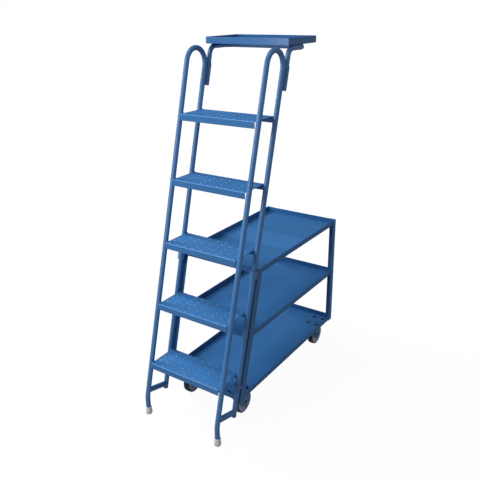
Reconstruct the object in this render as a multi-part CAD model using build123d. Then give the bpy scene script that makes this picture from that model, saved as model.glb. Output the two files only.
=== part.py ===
"""Stock picking ladder: a three shelf steel cart with a leaning five step ladder at its front.

Millimetres, +Z up, +X to the right of a climber and +Y from the ladder towards the rear of the cart.
The origin is on the floor, in the middle of the whole machine.
The ladder is two bent tubes with treads between them. It slides a few millimetres along its lean in
rings on the cart's front posts, so that its rubber tips come down on the floor under a climber.
"""
import os
from math import cos, radians, sin, tan

from build123d import *

# Steel stock
TUBE_R = 12.7
TUBE_WALL = 2.1
ANGLE_LEG = 38.1
ANGLE_T = 3.2
SHEET_T = 2.0
SHEET_BEND_R = 3.0

# Width over the side frames, and how far the cart and the tray stay inside it
HALF_WIDTH = 236.4
CART_INSET = 0.2
TRAY_INSET = 1.9

# Ladder
LEAN_DEG = 15.1
STILE_GAP = 141.8
HANDHOLD_LENGTH = 248.85
FOOT_Y = 32.0
FOOT_BEND_R = 120.0
BRACE_R = 14.3
BRACE_S = 157.0
REAR_LEG_DROP = 25.0

# Treads, counted from the floor up
TREAD_COUNT = 5
FIRST_TREAD_Z = 306.4
TREAD_RISE = 304.8
TREAD_FRONT = 18.0
TREAD_DEPTH = 170.0
TREAD_FLANGE = 32.0
TREAD_T = 2.7
TREAD_BEND_R = 4.0

# Rubber tips
TIP_HOVER = 15.0
TIP_LENGTH = 40.0
TIP_WIDEST_RISE = 9.0
TIP_SOLE = 13.0
TIP_TOP_WALL = 2.5
TIP_WIDEST_WALL = 5.8
TIP_BOTTOM_WALL = 3.3
TIP_FIT = 0.05

# Writing tray, its bracket and the sleeves that hold it
TRAY_OVER_HOOP = 98.14
TRAY_LIP = 33.0
TRAY_DEPTH = 269.0
TRAY_OVERHANG = 22.1
SLEEVE_WALL = 3.2
SLEEVE_FIT = 0.1
SLEEVE_UNDER_HOOP = 89.0
SLEEVE_BACK_LENGTH = 90.0
SLEEVE_FRONT_LENGTH = 133.0
BRACKET_SEAT = 10.0
BRACKET_BEND_R = 45.0
BRACKET_REACH = 152.9

# Rings on the front posts that guide the ladder
GUIDE_WALL = 6.3
GUIDE_FIT = 0.3
LOWER_GUIDE_LENGTH = 20.0
LOWER_GUIDE_UNDER_TREAD = 19.5
UPPER_GUIDE_LENGTH = 39.0
UPPER_GUIDE_UNDER_TOP = 1.5

# Cart
REAR_Y = 1239.0
DECK_PITCH = 318.0
SHELF_LIP = 30.0

# Casters
CASTER_INSET_X = 70.2
FRONT_CASTER_INSET = 73.0
REAR_CASTER_INSET = 86.0
WHEEL_R = 62.5
WHEEL_WIDTH = 32.0
WHEEL_TOP_GAP = 6.7
TYRE_T = 9.0
TYRE_EDGE_R = 3.0
TYRE_CROWN = 1.2
HUB_RIM_T = 5.0
HUB_WEB_T = 9.0
HUB_FILLET_R = 4.0
HUB_BOSS_WALL = 10.0
HUB_BOSS_OVERHANG = 5.5
HUB_END_GAP = 0.4
AXLE_R = 5.0
AXLE_FIT = 0.05
AXLE_HEAD_STEP = 4.0
AXLE_HEAD_T = 6.0
WASHER_STEP = 6.0
WASHER_T = 1.2
TRAIL = 40.0
PLATE_X = 79.4
PLATE_Y = 104.8
PLATE_T = 4.5
PLATE_CORNER_R = 8.0
BOLT_EDGE = 11.1
BOLT_R = 4.0
BOLT_FIT = 0.3
RACE_R = 29.0
RACE_T = 6.0
RACE_GAP = 0.3
KINGPIN_R = 7.0
KINGPIN_FIT = 0.05
KINGPIN_HEAD_STEP = 3.0
KINGPIN_HEAD_T = 4.0
FORK_T = 3.5
FORK_BEND_R = 6.0
FORK_CROWN_STEP = 11.0
FORK_EYE_R = 26.0

# Worked out across the machine
STILE_X = HALF_WIDTH - TUBE_R
CART_HALF_WIDTH = HALF_WIDTH - CART_INSET
SHELF_HALF_WIDTH = CART_HALF_WIDTH - ANGLE_T
TRAY_HALF_WIDTH = HALF_WIDTH - TRAY_INSET
CASTER_X = CART_HALF_WIDTH - CASTER_INSET_X

# Worked out for the casters, from the floor up
HUB_LENGTH = WHEEL_WIDTH + 2 * HUB_BOSS_OVERHANG
HUB_BOSS_R = AXLE_R + HUB_BOSS_WALL
FORK_INNER_X = HUB_LENGTH / 2 + HUB_END_GAP
FORK_OUTER_X = FORK_INNER_X + FORK_T
FORK_CROWN_HALF = RACE_R + FORK_CROWN_STEP
CROWN_BOTTOM_Z = 2 * WHEEL_R + WHEEL_TOP_GAP
CROWN_TOP_Z = CROWN_BOTTOM_Z + FORK_T
PLATE_BOTTOM_Z = CROWN_TOP_Z + 2 * RACE_T + RACE_GAP
BOLT_HOLE_R = BOLT_R + BOLT_FIT

# Worked out for the cart
DECK_Z = PLATE_BOTTOM_Z + PLATE_T
TOP_DECK_Z = DECK_Z + 2 * DECK_PITCH
POST_TOP_Z = TOP_DECK_Z + SHELF_LIP
SHELF_BACK_Y = REAR_Y - ANGLE_T
REAR_CASTER_Y = REAR_Y - REAR_CASTER_INSET

# Worked out along and across the lean
LEAN_SIN = sin(radians(LEAN_DEG))
LEAN_COS = cos(radians(LEAN_DEG))
LEAN_TAN = tan(radians(LEAN_DEG))
GUIDE_R = TUBE_R + GUIDE_WALL
SLEEVE_R = TUBE_R + SLEEVE_WALL
POST_N = STILE_GAP + GUIDE_R
SLEEVE_N = STILE_GAP + TUBE_R + SLEEVE_R
REAR_LEG_END_S = BRACE_S - REAR_LEG_DROP
HOOP_S = (FIRST_TREAD_Z + (TREAD_COUNT - 1) * TREAD_RISE) / LEAN_COS + HANDHOLD_LENGTH
SLEEVE_BOTTOM_S = HOOP_S - SLEEVE_UNDER_HOOP
BRACKET_START_S = SLEEVE_BOTTOM_S + BRACKET_SEAT
LOWER_GUIDE_S = (FIRST_TREAD_Z - TREAD_FLANGE + STILE_GAP * LEAN_SIN) / LEAN_COS - LOWER_GUIDE_UNDER_TREAD
UPPER_GUIDE_S = (POST_TOP_Z + STILE_GAP * LEAN_SIN) / LEAN_COS - UPPER_GUIDE_UNDER_TOP

# Worked out for the tips and the tray
FOOT_TUBE_END_Z = TIP_HOVER + TIP_SOLE
TRAY_TOP_Z = HOOP_S * LEAN_COS + TRAY_OVER_HOOP
TRAY_BOTTOM_Z = TRAY_TOP_Z - TRAY_LIP
ARM_Z = TRAY_BOTTOM_Z - TUBE_R
ELBOW_Y = (SLEEVE_N + ARM_Z * LEAN_SIN) / LEAN_COS
BRACKET_CROSS_Y = ELBOW_Y + BRACKET_REACH
TRAY_FRONT_Y = ELBOW_Y - TRAY_OVERHANG

# Two places closer than this are one
TOLERANCE = 0.001

# Middle of the machine, from the tips to the rear posts
MIDDLE_Y = (FOOT_Y - TUBE_R - TIP_WIDEST_WALL + REAR_Y) / 2

# Columns: name of the shelf, height of its underside
SHELVES = (
    ("bottom_shelf", DECK_Z),
    ("middle_shelf", DECK_Z + DECK_PITCH),
    ("top_shelf", TOP_DECK_Z),
)
# Columns: name, start and end of the ring along the lean
GUIDES = (
    ("lower_guide", LOWER_GUIDE_S - LOWER_GUIDE_LENGTH, LOWER_GUIDE_S),
    ("upper_guide", UPPER_GUIDE_S - UPPER_GUIDE_LENGTH, UPPER_GUIDE_S),
)
SIDES = (("left", -1), ("right", 1))

# The ladder's own frame: x as in the cart, n backwards across the tubes, s upwards along the lean
LEANING = Plane(origin=(0, 0, 0), x_dir=(1, 0, 0), z_dir=(0, LEAN_SIN, LEAN_COS))


def leaning_point(x, n, s):
    """The point of the cart's frame at x, n across and s along the lean."""
    return Vector(x, n * LEAN_COS + s * LEAN_SIN, s * LEAN_COS - n * LEAN_SIN)


def y_on_lean(n, z):
    """How far back the sloping plane n lies at the height z."""
    return (n + z * LEAN_SIN) / LEAN_COS


def tube_along(path, radius=TUBE_R, wall=TUBE_WALL):
    """An open ended round tube whose middle line is the path."""
    start = Plane(origin=path @ 0, z_dir=path % 0)
    return sweep(start * (Circle(radius) - Circle(radius - wall)), path=path)


def sheet_channel(depth, height, thickness, bend_r):
    """The section of a channel folded from sheet: flat on top, its two flanges hanging down."""
    outer = Pos(0, -height / 2) * Rectangle(depth, height)
    outer = fillet(outer.vertices().sort_by(Axis.Y)[-2:], bend_r)
    inner = Pos(0, -height / 2 - thickness) * Rectangle(depth - 2 * thickness, height)
    inner = fillet(inner.vertices().sort_by(Axis.Y)[-2:], bend_r - thickness / 2)
    return outer - inner


def pan(half_width, front_y, back_y, bottom_z, lip):
    """An open tray folded from sheet, its four rims standing up round a flat floor."""
    length = back_y - front_y
    middle = Pos(0, (front_y + back_y) / 2, bottom_z)
    outer = Box(2 * half_width, length, lip, align=(Align.CENTER, Align.CENTER, Align.MIN))
    outer = fillet(outer.faces().sort_by(Axis.Z)[0].edges(), SHEET_BEND_R)
    inner = Pos(0, 0, SHEET_T) * Box(
        2 * (half_width - SHEET_T), length - 2 * SHEET_T, lip, align=(Align.CENTER, Align.CENTER, Align.MIN)
    )
    inner = fillet(inner.faces().sort_by(Axis.Z)[0].edges(), SHEET_BEND_R / 2)
    return middle * (outer - inner)


def angle_section(corner_x, corner_y, leg_x, leg_y):
    """The section of an angle iron with its outer corner given and its legs along -x or +x, -y or +y."""
    along_x = Pos(corner_x + leg_x / 2, corner_y + ANGLE_T / 2 * (1 if leg_y > 0 else -1)) * Rectangle(
        abs(leg_x), ANGLE_T
    )
    along_y = Pos(corner_x + ANGLE_T / 2 * (1 if leg_x > 0 else -1), corner_y + leg_y / 2) * Rectangle(
        ANGLE_T, abs(leg_y)
    )
    return along_x + along_y


def side_frame(side):
    """One side of the ladder: foot, leaning front stile, hoop and rear stile in a single bent tube."""
    x = side * STILE_X
    knee = Vector(x, FOOT_Y, FOOT_Y / LEAN_TAN)
    front_top = leaning_point(x, 0, HOOP_S)
    foot_and_stile = FilletPolyline((x, FOOT_Y, FOOT_TUBE_END_Z), knee, front_top, radius=FOOT_BEND_R)
    hoop = ThreePointArc(
        front_top,
        leaning_point(x, STILE_GAP / 2, HOOP_S + STILE_GAP / 2),
        leaning_point(x, STILE_GAP, HOOP_S),
    )
    rear_stile = Line(hoop @ 1, leaning_point(x, STILE_GAP, REAR_LEG_END_S))
    return tube_along(Wire(foot_and_stile.edges() + hoop.edges() + rear_stile.edges()))


def foot_brace(side):
    """The short tube that ties the rear stile's lower end to the front stile, coped to both."""
    x = side * STILE_X
    brace = Pos(x, 0, BRACE_S) * Rot(X=-90) * Cylinder(
        BRACE_R, STILE_GAP, align=(Align.CENTER, Align.CENTER, Align.MIN)
    )
    bore = Pos(x, 0, BRACE_S) * Rot(X=-90) * Cylinder(
        BRACE_R - TUBE_WALL, STILE_GAP, align=(Align.CENTER, Align.CENTER, Align.MIN)
    )
    stiles = [Pos(x, n, BRACE_S) * Cylinder(TUBE_R, 4 * BRACE_R) for n in (0, STILE_GAP)]
    return LEANING.location * (brace - bore - stiles)


def foot_tip(side):
    """A flared rubber tip pushed over the end of the front stile."""
    outline = Polyline(
        (0, TIP_HOVER),
        (TUBE_R + TIP_BOTTOM_WALL, TIP_HOVER),
        (TUBE_R + TIP_WIDEST_WALL, TIP_HOVER + TIP_WIDEST_RISE),
        (TUBE_R + TIP_TOP_WALL, TIP_HOVER + TIP_LENGTH),
        (TUBE_R + TIP_FIT, TIP_HOVER + TIP_LENGTH),
        (TUBE_R + TIP_FIT, FOOT_TUBE_END_Z),
        (0, FOOT_TUBE_END_Z),
        close=True,
    )
    return Pos(side * STILE_X, FOOT_Y, 0) * revolve(Plane.XZ * make_face(outline), Axis.Z)


def tread(number):
    """An open ended channel between the stiles, welded to both tubes at each end."""
    top_z = FIRST_TREAD_Z + (number - 1) * TREAD_RISE
    front_y = top_z * LEAN_TAN - TREAD_FRONT
    section = sheet_channel(TREAD_DEPTH, TREAD_FLANGE, TREAD_T, TREAD_BEND_R)
    place = Plane(origin=(0, front_y + TREAD_DEPTH / 2, top_z), x_dir=(0, 1, 0), z_dir=(1, 0, 0))
    return extrude(place * section, amount=STILE_X - TUBE_R, both=True)


def bracket_sleeve(side):
    """The socket welded behind a hoop, its top cut on the slant."""
    sleeve = Cylinder(SLEEVE_R, SLEEVE_FRONT_LENGTH, align=(Align.CENTER, Align.CENTER, Align.MIN))
    bore = Cylinder(TUBE_R + SLEEVE_FIT, SLEEVE_FRONT_LENGTH, align=(Align.CENTER, Align.CENTER, Align.MIN))
    slant = make_face(
        Polyline(
            (-SLEEVE_R, SLEEVE_FRONT_LENGTH),
            (SLEEVE_R, SLEEVE_BACK_LENGTH),
            (SLEEVE_R, SLEEVE_FRONT_LENGTH),
            close=True,
        )
    )
    offcut = extrude(Plane.YZ * slant, amount=SLEEVE_R, both=True)
    return LEANING.location * Pos(side * STILE_X, SLEEVE_N, SLEEVE_BOTTOM_S) * (sleeve - bore - offcut)


def tray_bracket():
    """The one bent tube that carries the tray: up out of a sleeve, back, across and down to the other sleeve."""
    path = FilletPolyline(
        leaning_point(-STILE_X, SLEEVE_N, BRACKET_START_S),
        (-STILE_X, ELBOW_Y, ARM_Z),
        (-STILE_X, BRACKET_CROSS_Y, ARM_Z),
        (STILE_X, BRACKET_CROSS_Y, ARM_Z),
        (STILE_X, ELBOW_Y, ARM_Z),
        leaning_point(STILE_X, SLEEVE_N, BRACKET_START_S),
        radius=BRACKET_BEND_R,
    )
    return tube_along(path)


def guide_ring(side, start_s, end_s):
    """A ring on the front post that the rear stile slides in."""
    height = end_s - start_s
    ring = Cylinder(GUIDE_R, height, align=(Align.CENTER, Align.CENTER, Align.MIN))
    bore = Cylinder(TUBE_R + GUIDE_FIT, height, align=(Align.CENTER, Align.CENTER, Align.MIN))
    return LEANING.location * Pos(side * STILE_X, STILE_GAP, start_s) * (ring - bore)


def front_post(side):
    """An angle iron that leans with the ladder, cut level at the bottom shelf and at the top rim."""
    section = angle_section(side * CART_HALF_WIDTH, POST_N, -side * ANGLE_LEG, ANGLE_LEG)
    longest = 2 * POST_TOP_Z
    post = LEANING.location * extrude(section, amount=longest)
    span = Pos(0, 0, DECK_Z) * Box(
        longest, longest, POST_TOP_Z - DECK_Z, align=(Align.CENTER, Align.CENTER, Align.MIN)
    )
    return post & span


def rear_post(side):
    """An upright angle iron round a rear corner of the shelves."""
    section = angle_section(side * CART_HALF_WIDTH, REAR_Y, -side * ANGLE_LEG, -ANGLE_LEG)
    return Pos(0, 0, DECK_Z) * extrude(section, amount=POST_TOP_Z - DECK_Z)


def at_bolts(x, y, radius):
    """A round bar through the deck at each of the four bolts of the caster at x, y."""
    bar = Cylinder(radius, SHEET_T, align=(Align.CENTER, Align.CENTER, Align.MIN))
    grid = GridLocations(PLATE_X - 2 * BOLT_EDGE, PLATE_Y - 2 * BOLT_EDGE, 2, 2)
    return [Pos(x, y, DECK_Z) * place * bar for place in grid]


def shelf_front_y(deck_z):
    """Where a shelf meets the front posts, at the top of its rim."""
    return y_on_lean(POST_N + ANGLE_T, deck_z + SHELF_LIP)


def caster_places(side):
    """The middles of the front and the rear caster plate of one side."""
    x = side * CASTER_X
    return (x, shelf_front_y(DECK_Z) + FRONT_CASTER_INSET), (x, REAR_CASTER_Y)


def shelf(deck_z):
    """A pan shelf from the inner faces of the front posts to those of the rear posts."""
    body = pan(SHELF_HALF_WIDTH, shelf_front_y(deck_z), SHELF_BACK_Y, deck_z, SHELF_LIP)
    if deck_z == DECK_Z:
        for _, side in SIDES:
            for x, y in caster_places(side):
                body -= at_bolts(x, y, BOLT_HOLE_R)
    return body


def caster_plate(x, y):
    """The plate on top of a caster, with the shanks of its bolts standing up through the deck."""
    outline = RectangleRounded(PLATE_X, PLATE_Y, PLATE_CORNER_R)
    plate = Pos(x, y, PLATE_BOTTOM_Z) * extrude(outline, amount=PLATE_T)
    return plate + at_bolts(x, y, BOLT_R)


def swivel_plate(x, y):
    """A caster plate with the upper ball race and the kingpin that the fork turns on."""
    race = Cylinder(RACE_R, RACE_T, align=(Align.CENTER, Align.CENTER, Align.MAX))
    pin_length = PLATE_BOTTOM_Z - CROWN_BOTTOM_Z + RACE_GAP
    pin = Cylinder(KINGPIN_R, pin_length, align=(Align.CENTER, Align.CENTER, Align.MAX))
    head = Pos(0, 0, -pin_length) * extrude(
        RegularPolygon(KINGPIN_R + KINGPIN_HEAD_STEP, 6), amount=-KINGPIN_HEAD_T
    )
    return caster_plate(x, y) + Pos(x, y, PLATE_BOTTOM_Z) * (race + pin + head)


def fork(x, y, trail, crown_top_z):
    """A pressed yoke: a crown over the wheel and two legs that narrow down to the axle."""
    height = crown_top_z - WHEEL_R + FORK_EYE_R
    outer = Pos(0, -height / 2) * Rectangle(2 * FORK_OUTER_X, height)
    outer = fillet(outer.vertices().sort_by(Axis.Y)[-2:], FORK_BEND_R)
    inner = Pos(0, -height / 2 - FORK_T) * Rectangle(2 * FORK_INNER_X, height)
    inner = fillet(inner.vertices().sort_by(Axis.Y)[-2:], FORK_BEND_R - FORK_T)
    bent = Plane(origin=(x, y, crown_top_z), x_dir=(1, 0, 0), z_dir=(0, -1, 0)) * (outer - inner)
    reach = 2 * FORK_CROWN_HALF + trail
    bent = extrude(bent, amount=reach, both=True)
    axle_drop = WHEEL_R - crown_top_z
    side_view = make_face(
        Polyline(
            (-FORK_CROWN_HALF, 0),
            (-FORK_CROWN_HALF, -FORK_BEND_R),
            (trail - FORK_EYE_R, axle_drop),
            (trail + FORK_EYE_R, axle_drop),
            (FORK_CROWN_HALF + trail / 2, -FORK_BEND_R),
            (FORK_CROWN_HALF + trail / 2, 0),
            close=True,
        )
    )
    side_view += Pos(trail, axle_drop) * Circle(FORK_EYE_R)
    side_view -= Pos(trail, axle_drop) * Circle(AXLE_R)
    blank = Plane(origin=(x, y, crown_top_z), x_dir=(0, 1, 0), z_dir=(1, 0, 0)) * side_view
    return bent & extrude(blank, amount=FORK_OUTER_X, both=True)


def swivel_fork(x, y):
    """The fork of a front caster, with the lower ball race and the hole that the kingpin runs in."""
    race = Pos(x, y, CROWN_TOP_Z) * Cylinder(RACE_R, RACE_T, align=(Align.CENTER, Align.CENTER, Align.MIN))
    bore = Pos(x, y, CROWN_BOTTOM_Z) * Cylinder(
        KINGPIN_R + KINGPIN_FIT, RACE_T + FORK_T, align=(Align.CENTER, Align.CENTER, Align.MIN)
    )
    return fork(x, y, TRAIL, CROWN_TOP_Z) + race - bore


def rigid_fork(x, y):
    """The fork of a rear caster, welded straight under its plate."""
    return fork(x, y, 0, PLATE_BOTTOM_Z) + caster_plate(x, y)


def axle(x, y):
    """The bolt that a wheel turns on, with a washer, a head and a nut outside the fork."""
    washers = Cylinder(AXLE_R + WASHER_STEP, 2 * (FORK_OUTER_X + WASHER_T)) - Cylinder(
        AXLE_R + WASHER_STEP, 2 * FORK_OUTER_X
    )
    head = RegularPolygon(AXLE_R + AXLE_HEAD_STEP, 6)
    bolt = extrude(head, amount=FORK_OUTER_X + AXLE_HEAD_T, both=True) - extrude(
        head, amount=FORK_OUTER_X, both=True
    )
    return Pos(x, y, WHEEL_R) * Rot(Y=90) * (Cylinder(AXLE_R, 2 * FORK_OUTER_X) + washers + bolt)


def tyre(x, y):
    """A solid rubber tyre with a crowned tread and rounded shoulders."""
    seat_r = WHEEL_R - TYRE_T
    shoulder_r = WHEEL_R - TYRE_CROWN
    edge = WHEEL_WIDTH / 2
    outline = Polyline((shoulder_r, -edge), (seat_r, -edge), (seat_r, edge), (shoulder_r, edge))
    tread_arc = ThreePointArc((shoulder_r, edge), (WHEEL_R, 0), (shoulder_r, -edge))
    section = make_face(Wire(outline.edges() + tread_arc.edges()))
    section = fillet(section.vertices().sort_by(Axis.X)[-2:], TYRE_EDGE_R)
    return Pos(x, y, WHEEL_R) * Rot(Y=90) * revolve(Plane.XZ * section, Axis.Z)


def hub(x, y):
    """A wheel centre: rim, thin web and a long boss with the axle's bore, all run together in fillets."""
    rim_r = WHEEL_R - TYRE_T
    rim = Pos(rim_r - HUB_RIM_T / 2, 0) * Rectangle(HUB_RIM_T, WHEEL_WIDTH)
    web = Pos((rim_r + AXLE_R) / 2, 0) * Rectangle(rim_r - AXLE_R - HUB_RIM_T, HUB_WEB_T)
    bore_r = AXLE_R + AXLE_FIT
    boss = Pos((HUB_BOSS_R + bore_r) / 2, 0) * Rectangle(HUB_BOSS_R - bore_r, HUB_LENGTH)
    section = rim + web + boss
    corners = [
        corner
        for corner in section.vertices()
        for corner_r in (HUB_BOSS_R, rim_r - HUB_RIM_T)
        if abs(corner.X - corner_r) < TOLERANCE and abs(abs(corner.Y) - HUB_WEB_T / 2) < TOLERANCE
    ]
    section = fillet(corners, HUB_FILLET_R)
    return Pos(x, y, WHEEL_R) * Rot(Y=90) * revolve(Plane.XZ * section, Axis.Z)


def build():
    """All pieces by name, in the cart's frame before it is centred."""
    pieces = {name: shelf(deck_z) for name, deck_z in SHELVES}
    for hand, side in SIDES:
        pieces[f"front_post_{hand}"] = front_post(side)
        pieces[f"rear_post_{hand}"] = rear_post(side)
        for name, start_s, end_s in GUIDES:
            pieces[f"{name}_{hand}"] = guide_ring(side, start_s, end_s)
        pieces[f"side_frame_{hand}"] = side_frame(side)
        pieces[f"foot_brace_{hand}"] = foot_brace(side)
        pieces[f"foot_tip_{hand}"] = foot_tip(side)
        pieces[f"bracket_sleeve_{hand}"] = bracket_sleeve(side)
        (x, front_y), (x, rear_y) = caster_places(side)
        pieces[f"front_plate_{hand}"] = swivel_plate(x, front_y)
        pieces[f"front_fork_{hand}"] = swivel_fork(x, front_y)
        pieces[f"rear_fork_{hand}"] = rigid_fork(x, rear_y)
        for end, wheel_y in (("front", front_y + TRAIL), ("rear", rear_y)):
            pieces[f"{end}_axle_{hand}"] = axle(x, wheel_y)
            pieces[f"{end}_tyre_{hand}"] = tyre(x, wheel_y)
            pieces[f"{end}_hub_{hand}"] = hub(x, wheel_y)
    for number in range(1, TREAD_COUNT + 1):
        pieces[f"step_{number}"] = tread(number)
    pieces["tray_bracket"] = tray_bracket()
    pieces["tray"] = pan(TRAY_HALF_WIDTH, TRAY_FRONT_Y, TRAY_FRONT_Y + TRAY_DEPTH, TRAY_BOTTOM_Z, TRAY_LIP)
    return pieces


os.makedirs("parts", exist_ok=True)
for piece_name, piece in build().items():
    export_step(Pos(0, -MIDDLE_Y, 0) * piece, f"parts/{piece_name}.step")
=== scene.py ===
"""Looks of the stock picking ladder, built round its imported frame.

Metres, +Z up and the origin on the floor in the middle of the machine. The ladder's parts are placed in
its own leaning frame: x across, n backwards from the front stiles, s up along them. Places along the
machine are written from the line on the floor where the front stiles' lean begins, and SIZES.middle_y
takes them to the machine's middle.
"""

import logging
from dataclasses import dataclass
from enum import Enum
from math import cos, pi, radians, sin
from typing import Dict, List, Sequence, Tuple, Union

import bmesh
import bpy
from mathutils import Matrix, Vector


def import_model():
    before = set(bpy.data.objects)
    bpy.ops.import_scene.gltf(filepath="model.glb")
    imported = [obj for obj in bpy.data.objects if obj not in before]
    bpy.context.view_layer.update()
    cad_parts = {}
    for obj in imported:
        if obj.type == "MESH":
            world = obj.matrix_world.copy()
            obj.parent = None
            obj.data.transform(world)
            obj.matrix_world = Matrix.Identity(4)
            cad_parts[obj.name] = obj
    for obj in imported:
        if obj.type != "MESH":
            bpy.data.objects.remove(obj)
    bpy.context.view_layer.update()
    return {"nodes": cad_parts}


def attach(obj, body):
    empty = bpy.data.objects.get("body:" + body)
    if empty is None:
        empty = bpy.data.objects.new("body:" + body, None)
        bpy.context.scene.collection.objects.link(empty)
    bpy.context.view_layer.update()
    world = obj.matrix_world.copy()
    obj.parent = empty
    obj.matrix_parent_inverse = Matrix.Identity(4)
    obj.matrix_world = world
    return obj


Colour = Tuple[float, float, float]
Point = Tuple[float, float, float]
Number = Union[int, float]
Settings = Dict[str, object]
Inputs = Dict[Union[str, int], object]
Outline = Sequence[Tuple[float, float]]

LOG = logging.getLogger("picking_ladder")


class Hand(Enum):
    """The two sides of the machine, seen by somebody on the ladder."""

    LEFT = -1
    RIGHT = 1

    @property
    def word(self) -> str:
        """The side's word in the names of nodes."""
        return self.name.lower()


class Slot(Enum):
    """Names of the record's material slots; nothing here gives them to the added pieces."""

    BLUE = "blue_enamel"
    STEEL = "bolt_steel"
    CENTRE = "wheel_centre"
    TIP = "tip_rubber"


@dataclass(frozen=True)
class Sizes:
    """Sizes that several sub-assemblies share.

    Attributes:
        lean: The ladder's angle from upright.
        middle_y: From the line on the floor where the front stiles' lean begins to the machine's middle.
        tube_r: Radius of the stiles' tube.
        stile_x: Distance of the stiles from the middle plane.
        stile_gap: Distance from a front stile to its rear stile, across the lean.
        first_tread_z: Height of the lowest tread's top.
        tread_rise: Height from one tread to the next.
        tread_front: How far a tread stands out before the line of the front stiles.
        tread_depth: A tread's depth from front to back.
        deck_z: Height of the lowest pan's underside.
        deck_pitch: Height from one pan to the next.
        sheet_t: Thickness of the pans' sheet.
        weld_sink: How far a bead's middle lies below the sheet that it joins.
    """

    lean: float = radians(15.1)
    middle_y: float = 0.62625
    tube_r: float = 0.0127
    stile_x: float = 0.2237
    stile_gap: float = 0.1418
    first_tread_z: float = 0.3064
    tread_rise: float = 0.3048
    tread_front: float = 0.018
    tread_depth: float = 0.170
    deck_z: float = 0.152
    deck_pitch: float = 0.318
    sheet_t: float = 0.002
    weld_sink: float = 0.0004

    def leaning(self, x: float, n: float, s: float) -> Matrix:
        """Gives a frame on the ladder whose z runs up along the lean.

        Args:
            x: Place across the machine.
            n: Place behind the front stiles.
            s: Place up along the lean.

        Returns:
            The frame as a matrix in the machine's own frame.
        """
        y = n * cos(self.lean) + s * sin(self.lean) - self.middle_y
        z = s * cos(self.lean) - n * sin(self.lean)
        return Matrix.Translation((x, y, z)) @ Matrix.Rotation(-self.lean, 4, "X")

    def point(self, x: float, n: float, s: float) -> Vector:
        """Gives a place on the ladder as a point in the machine's own frame."""
        return self.leaning(x, n, s).to_translation()

    def stile_y(self, z: float, n: float = 0.0) -> float:
        """Gives where the leaning plane n stands at a height."""
        return (n + z * sin(self.lean)) / cos(self.lean) - self.middle_y


SIZES = Sizes()


class Term:
    """A number that varies over a surface, written in ordinary arithmetic."""

    def __init__(self, recipe: "Recipe", socket: bpy.types.NodeSocket) -> None:
        """Wraps a socket of a recipe."""
        self.recipe = recipe
        self.socket = socket

    def _maths(self, operation: str, first: "Operand", second: "Operand", clamp: bool = False) -> "Term":
        """Adds one Math node.

        Args:
            operation: The node's operation.
            first: The first number or term.
            second: The second number or term.
            clamp: Whether the result is kept between 0 and 1.

        Returns:
            The result as a term.
        """
        settings = {"operation": operation, "use_clamp": clamp}
        return self.recipe.term("ShaderNodeMath", settings, {0: first, 1: second}, "Value")

    def __add__(self, other: "Operand") -> "Term":
        """Adds a number or a term."""
        return self._maths("ADD", self, other)

    __radd__ = __add__

    def __mul__(self, other: "Operand") -> "Term":
        """Multiplies by a number or a term."""
        return self._maths("MULTIPLY", self, other)

    __rmul__ = __mul__

    def __sub__(self, other: "Operand") -> "Term":
        """Takes a number or a term away."""
        return self._maths("SUBTRACT", self, other)

    def __rsub__(self, other: "Operand") -> "Term":
        """Takes this term from a number."""
        return self._maths("SUBTRACT", other, self)

    def __gt__(self, other: "Operand") -> "Term":
        """Gives 1 where this term is the greater."""
        return self._maths("GREATER_THAN", self, other)

    def ramp(self, low: float, high: float) -> "Term":
        """Stretches the band from low to high over 0 to 1."""
        return self._maths("MULTIPLY", self - low, 1.0 / (high - low), clamp=True)


Operand = Union[Term, Number]


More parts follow.
